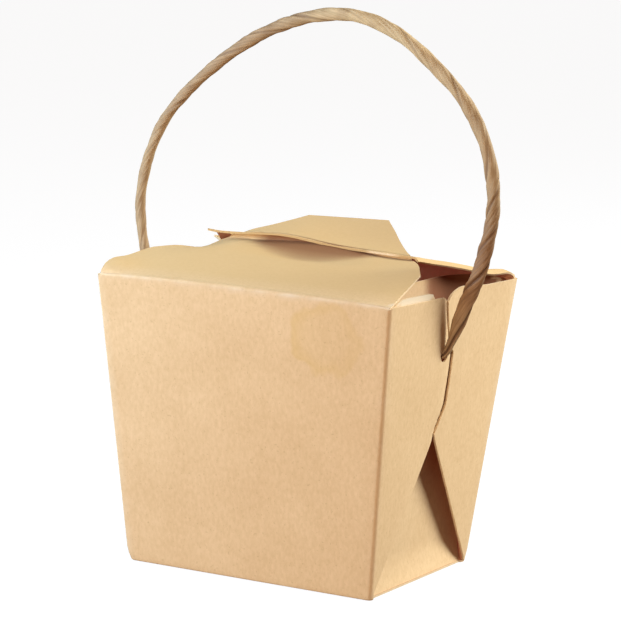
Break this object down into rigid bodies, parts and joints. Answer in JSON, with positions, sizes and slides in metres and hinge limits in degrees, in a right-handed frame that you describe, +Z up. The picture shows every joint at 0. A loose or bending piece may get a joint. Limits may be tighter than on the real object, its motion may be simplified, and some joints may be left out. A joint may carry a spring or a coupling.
{
  "type": "takeaway noodle box",
  "caption": "Shut takeaway pail of folded kraft board with interlocked lid flaps and an upright twisted paper cord handle.",
  "frame": {"origin": "middle of the underside of the base", "axes": "+Z up, -Y towards the wide front wall, X along the handle's swing axis, towards the folded sides"},
  "size_m": [0.1182, 0.081, 0.1621],
  "materials": {
    "kraft_board": "uncoated kraft board, smooth and matt, with paler cut edges",
    "paper_cord": "twisted brown kraft paper with fine lengthwise fibre lines"
  },
  "bodies": {
    "pail": {"carton": "kraft_board"},
    "handle": {"cord_handle": "paper_cord"}
  },
  "joints": [
    {"name": "handle_swing", "type": "hinge", "parent": "pail", "child": "handle", "pos_m": [0, -0.0032, 0.0676], "axis": [1, 0, 0], "range_deg": [-130, 130]}
  ]
}
